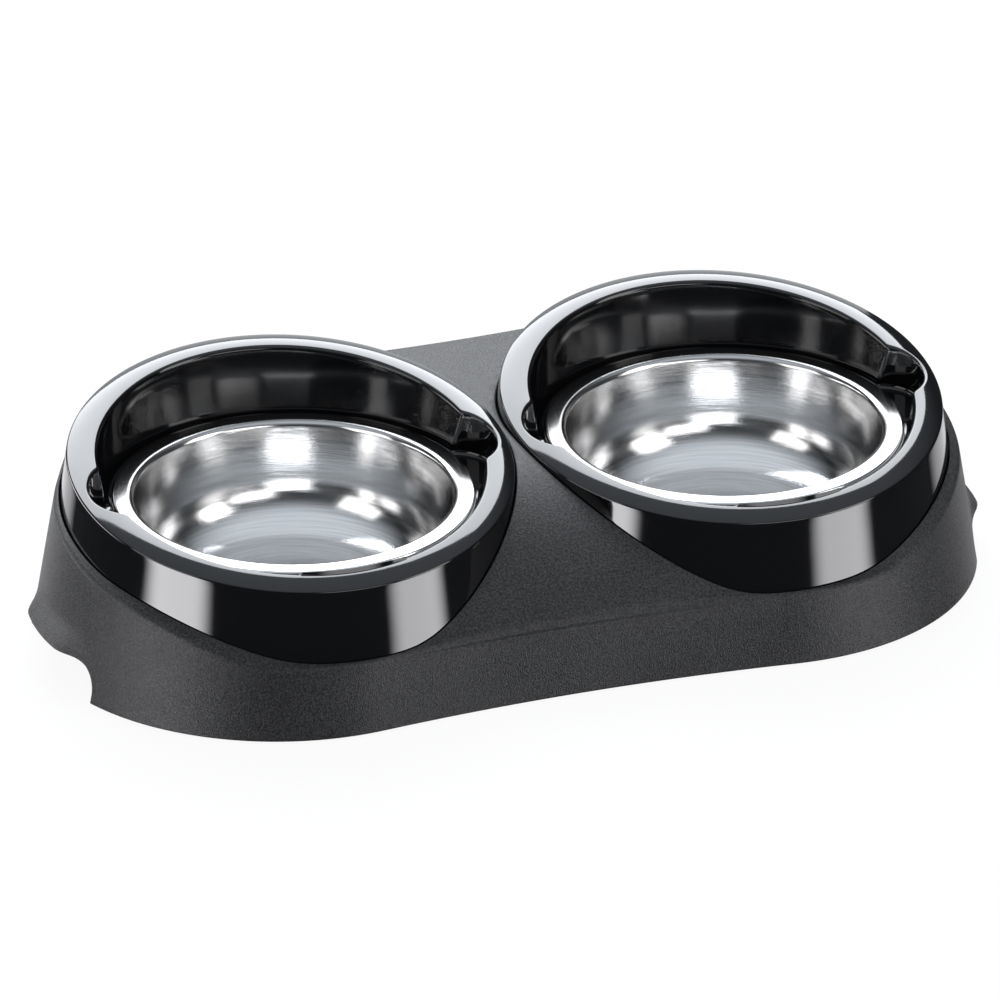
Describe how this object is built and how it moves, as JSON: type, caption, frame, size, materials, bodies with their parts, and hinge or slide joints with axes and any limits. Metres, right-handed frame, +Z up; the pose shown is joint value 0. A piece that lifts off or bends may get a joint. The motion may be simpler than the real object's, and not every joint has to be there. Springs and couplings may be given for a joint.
{
  "type": "double pet bowl",
  "caption": "Low waisted stand with raised tilted gloss collars that hold lift-out steel feeding bowls side by side, with finger notches and end handholds.",
  "frame": {"origin": "centre of the footprint on the floor, at the underside of the rubber feet", "axes": "+X to the right along the row of bowls, +Y to the back, +Z up; the low front of the collars faces -Y"},
  "size_m": [0.3796, 0.1906, 0.0863],
  "materials": {
    "stand_plastic": "fine matte grain, charcoal",
    "collar_plastic": "polished black moulding",
    "bowl_steel": "spun and lightly brushed stainless steel",
    "foot_rubber": "soft pale grey rubber"
  },
  "bodies": {
    "stand": {"stand": "stand_plastic", "left_holder": "collar_plastic", "right_holder": "collar_plastic", "front_left_foot": "foot_rubber", "front_right_foot": "foot_rubber", "back_left_foot": "foot_rubber", "back_right_foot": "foot_rubber"},
    "left_bowl": {"left_bowl": "bowl_steel"},
    "right_bowl": {"right_bowl": "bowl_steel"}
  },
  "joints": [
    {"name": "left_bowl_lift", "type": "slide", "parent": "stand", "child": "left_bowl", "axis": [0, 0, 1], "range_m": [0, 0.1]},
    {"name": "right_bowl_lift", "type": "slide", "parent": "stand", "child": "right_bowl", "axis": [0, 0, 1], "range_m": [0, 0.1]}
  ]
}
